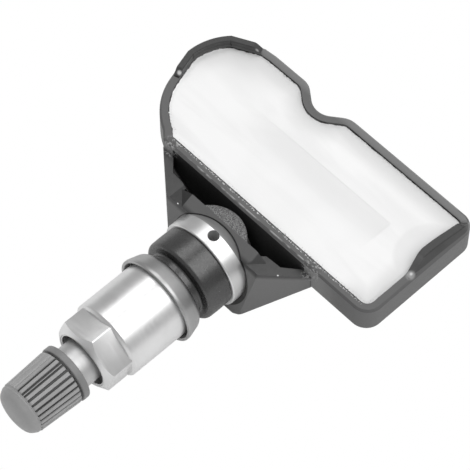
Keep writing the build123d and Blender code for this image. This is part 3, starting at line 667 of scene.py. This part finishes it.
# The housing and its potting
def wall_edge(shell, centre, start, end):
    """The outer top edge of the wall, evenly spaced between two angles seen from a centre."""
    corners = []
    for v in shell.verts:
        away = Vector((v.co.x - centre[0], v.co.y - centre[1]))
        turn = atan2(away.y, away.x) * 180 / pi % 360
        turn = turn - 360 if turn > 300 else turn
        if abs(v.co.z - WALL_TOP) < 0.02 and start - 12 < turn < end + 12 and away.length > centre[2]:
            corners.append((turn, v.co.x, v.co.y))
    corners.sort()
    edge = []
    for (_, x0, y0), (_, x1, y1) in zip(corners, corners[1:]):
        length = hypot(x1 - x0, y1 - y0)
        steps = max(1, round(length / 0.35)) if length > 0.01 else 0
        edge += along(x0, y0, x1, y1, steps)
    return edge


def make_lip(edge, rise, lean):
    """A raised length of the rim, leaning in most where it is highest. rise(x, y) is its height over the rim."""
    edge = [spot for spot in edge if rise(*spot) > 0.0005]
    section = [(0.0, -0.37), (0.3, -0.12), (0.42, 0.0), (1.38, 0.0), (1.5, -0.12), (1.45, -0.5)]
    count = len(section)
    bm = bmesh.new()
    bmesh.ops.create_grid(bm, x_segments=count, y_segments=len(edge) - 1, size=1)
    for v in bm.verts:
        i = round((v.co.x + 1) / 2 * count) % count
        j = round((v.co.y + 1) / 2 * (len(edge) - 1))
        x, y = edge[j]
        ahead = Vector(edge[min(j + 1, len(edge) - 1)]) - Vector(edge[max(j - 1, 0)])
        inward = Vector((-ahead.y, ahead.x)).normalized()
        inset, z = section[i]
        if 0 < i < count - 1:
            share = 1.0 if i > 2 else 0.8
            inset += share * lean * rise(x, y) / LIP_HEIGHT * (1 - 0.7 * smooth(25.0, 35.0, y))
            z += rise(x, y) - 0.04
        v.co = (x + inward.x * inset, y + inward.y * inset, RIM_Z + z)
    bmesh.ops.remove_doubles(bm, verts=bm.verts, dist=0.0005)
    bmesh.ops.holes_fill(bm, edges=bm.edges[:], sides=0)
    bmesh.ops.recalc_face_normals(bm, faces=bm.faces)
    return bm


def round_lip_rise(x, y):
    turn = atan2(y - 22.6, x + 16.2) * 180 / pi % 360
    return LIP_HEIGHT * smooth(109.0, 118.0, turn) * (1 - smooth(188.5, 196.0, turn))


def square_lip_rise(x, y):
    return LIP_HEIGHT * smooth(19.0, 24.9, y) * (1 - smooth(32.4, 35.2, y))


def make_shell():
    """The CAD body with its square-cut lips replaced by lips that lean and run out."""
    bm = from_cad("housing")
    ends = [(wall_edge(bm, (-16.2, 22.6, 11.3), 107.0, 197.0), round_lip_rise, 0.0),
            (wall_edge(bm, (16.0, 26.0, 12.0), -38.0, 40.0), square_lip_rise, 1.15)]
    bmesh.ops.bisect_plane(bm, geom=bm.verts[:] + bm.edges[:] + bm.faces[:], dist=0.002, plane_co=(0, 0, RIM_Z),
                           plane_no=(0, 0, 1), clear_outer=True)
    bmesh.ops.holes_fill(bm, edges=[e for e in bm.edges if e.is_boundary], sides=0)
    bmesh.ops.recalc_face_normals(bm, faces=bm.faces)
    for edge, rise, lean in ends:
        bm = joined(bm, make_lip(edge, rise, lean))
    return bm


def potting_wave(x, y):
    """Height of the set compound above its flat level, without the edge."""
    long_wave = noise.noise(Vector((x * 0.07, y * 0.16, 1.0)))
    short_wave = noise.noise(Vector((x * 0.2, y * 0.45, 7.0)))
    return 0.1 * long_wave + 0.03 * short_wave


def make_potting():
    """The CAD body with its flat top replaced by a poured surface that climbs the wall a little."""
    bm = from_cad("potting")
    from_wall = bm.verts.layers.float.new("from_wall")
    top = [f for f in bm.faces if f.normal.z > 0.99 and abs(f.calc_center_median().z - POTTING_Z) < 0.01]
    edges = {e for f in top for e in f.edges if len([g for g in e.link_faces if g in top]) == 1}
    bmesh.ops.delete(bm, geom=top, context="FACES_ONLY")
    edges = [e for e in edges if e.is_valid]
    cuts = {e: max(0, int(e.calc_length() / 0.6) - 1) for e in edges}
    for count in sorted(set(cuts.values())):
        if count:
            chosen = [e for e in edges if e.is_valid and cuts[e] == count]
            bmesh.ops.subdivide_edges(bm, edges=chosen, cuts=count, use_grid_fill=False)
    edges = [e for e in bm.edges if e.is_boundary and min(v.co.z for v in e.verts) > POTTING_Z - 0.01]
    rim = list({v for e in edges for v in e.verts})
    order = {v: i for i, v in enumerate(rim)}
    tree = kdtree.KDTree(len(rim))
    for i, v in enumerate(rim):
        tree.insert(v.co, i)
    tree.balance()
    points = [v.co.to_2d() for v in rim]
    low = Vector((min(p.x for p in points), min(p.y for p in points)))
    high = Vector((max(p.x for p in points), max(p.y for p in points)))
    random.seed(5)
    step = 0.42
    inner = []
    y = low.y
    while y < high.y:
        x = low.x
        while x < high.x:
            spot = Vector((x + random.uniform(-0.08, 0.08), y + random.uniform(-0.08, 0.08)))
            if tree.find((spot.x, spot.y, POTTING_Z))[2] > 0.3:
                inner.append(spot)
            x += step
        y += step
    links = [(order[e.verts[0]], order[e.verts[1]]) for e in edges]
    flat, _, faces, source, _, _ = geometry.delaunay_2d_cdt(points + inner, links, [], 1, 1e-5)
    made = []
    for i, p in enumerate(flat):
        old = [k for k in source[i] if k < len(rim)]
        made.append(rim[old[0]] if old else bm.verts.new((p.x, p.y, POTTING_Z)))
    for face in faces:
        try:
            bm.faces.new([made[i] for i in face])
        except ValueError:
            continue
    for v in bm.verts:
        v[from_wall] = 9.0
    for v in made:
        away = tree.find((v.co.x, v.co.y, POTTING_Z))[2]
        v[from_wall] = away
        jag = noise.noise(Vector((v.co.x * 1.7, v.co.y * 1.7, 3.0)))
        climb = (0.3 + 0.16 * jag) * exp(-away / 0.55) + 0.12 * exp(-away / 2.2)
        v.co.z = POTTING_Z - 0.12 + climb + potting_wave(v.co.x, v.co.y) * smooth(0.0, 2.5, away)
    bmesh.ops.recalc_face_normals(bm, faces=bm.faces)
    return bm


piece("housing_shell", make_shell(), "sensor", "housing", bevel=0.18)
piece("poured_potting", make_potting(), "sensor", "potting")

# The core's spring, copied from the CAD node with a mesh of its own
spring = piece("core_spring_coil", from_cad("core_spring"), "sensor", "core_spring", sharp=180.0)
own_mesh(spring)


# Studio
def place_camera():
    """The photo's camera: its eye and direction come from a fit to the valve's ellipses."""
    azimuth = radians(46.32)
    elevation = radians(57.8)
    right = Vector((cos(azimuth), sin(azimuth), 0))
    back = Vector((sin(azimuth) * cos(elevation), -cos(azimuth) * cos(elevation), sin(elevation)))
    turn = Matrix((right, back.cross(right), back)).transposed().to_4x4()
    data = bpy.data.cameras.new("photo_camera")
    data.sensor_width = 36.0
    data.lens = 193.13
    data.clip_start = 0.01
    camera = bpy.data.objects.new("photo_camera", data)
    camera.matrix_world = Matrix.Translation(Vector((160.455, -145.196, 352.825)) * MM) @ turn
    bpy.context.scene.collection.objects.link(camera)
    bpy.context.scene.camera = camera


def white_to_camera(tree, other):
    """Pure white where the camera looks straight at it, and the other shader in every reflection."""
    path = tree.nodes.new("ShaderNodeLightPath")
    white = tree.nodes.new("ShaderNodeEmission")
    white.inputs["Color"].default_value = grey(1.0)
    white.inputs["Strength"].default_value = 1.0
    mixer = tree.nodes.new("ShaderNodeMixShader")
    tree.links.new(path.outputs["Is Camera Ray"], mixer.inputs["Fac"])
    tree.links.new(other, mixer.inputs[1])
    tree.links.new(white.outputs[0], mixer.inputs[2])
    return mixer.outputs[0]


def make_floor():
    bm = bmesh.new()
    bmesh.ops.create_grid(bm, x_segments=1, y_segments=1, size=1.5)
    bmesh.ops.translate(bm, verts=bm.verts, vec=(0, 0, FLOOR_Z * MM))
    mesh = bpy.data.meshes.new("floor")
    bm.to_mesh(mesh)
    bm.free()
    material = bpy.data.materials.new("floor_white")
    material.use_nodes = True
    tree = material.node_tree
    paint = tree.nodes["Principled BSDF"]
    paint.inputs["Base Color"].default_value = grey(0.8)
    paint.inputs["Roughness"].default_value = 0.9
    paint.inputs["Emission Color"].default_value = grey(1.0)
    paint.inputs["Emission Strength"].default_value = 0.15
    tree.links.new(white_to_camera(tree, paint.outputs[0]), tree.nodes["Material Output"].inputs["Surface"])
    mesh.materials.append(material)
    floor = bpy.data.objects.new("floor", mesh)
    bpy.context.scene.collection.objects.link(floor)


def softbox(name, place, aim, width, height, power):
    data = bpy.data.lights.new(name, "AREA")
    data.shape = "RECTANGLE"
    data.size = width
    data.size_y = height
    data.energy = power
    lamp = bpy.data.objects.new(name, data)
    lamp.location = place
    lamp.rotation_euler = (Vector(aim) - Vector(place)).to_track_quat("-Z", "Y").to_euler()
    bpy.context.scene.collection.objects.link(lamp)


def make_world():
    world = bpy.data.worlds.new("studio")
    bpy.context.scene.world = world
    world.use_nodes = True
    tree = world.node_tree
    room = tree.nodes["Background"]
    room.inputs["Color"].default_value = grey(1.0)
    room.inputs["Strength"].default_value = 0.42
    white = tree.nodes.new("ShaderNodeBackground")
    white.inputs["Color"].default_value = grey(1.0)
    white.inputs["Strength"].default_value = 1.0
    path = tree.nodes.new("ShaderNodeLightPath")
    mixer = tree.nodes.new("ShaderNodeMixShader")
    tree.links.new(path.outputs["Is Camera Ray"], mixer.inputs["Fac"])
    tree.links.new(room.outputs[0], mixer.inputs[1])
    tree.links.new(white.outputs[0], mixer.inputs[2])
    tree.links.new(mixer.outputs[0], tree.nodes["World Output"].inputs["Surface"])


place_camera()
make_floor()
make_world()
softbox("left_panel", (-0.255, 0.22, 0.55), (-0.255, 0.22, 0), 0.31, 0.6, 1.0)
softbox("right_panel", (0.35, 0.22, 0.55), (0.35, 0.22, 0), 0.64, 0.6, 2.2)
scene = bpy.context.scene
scene.view_settings.view_transform = "Standard"
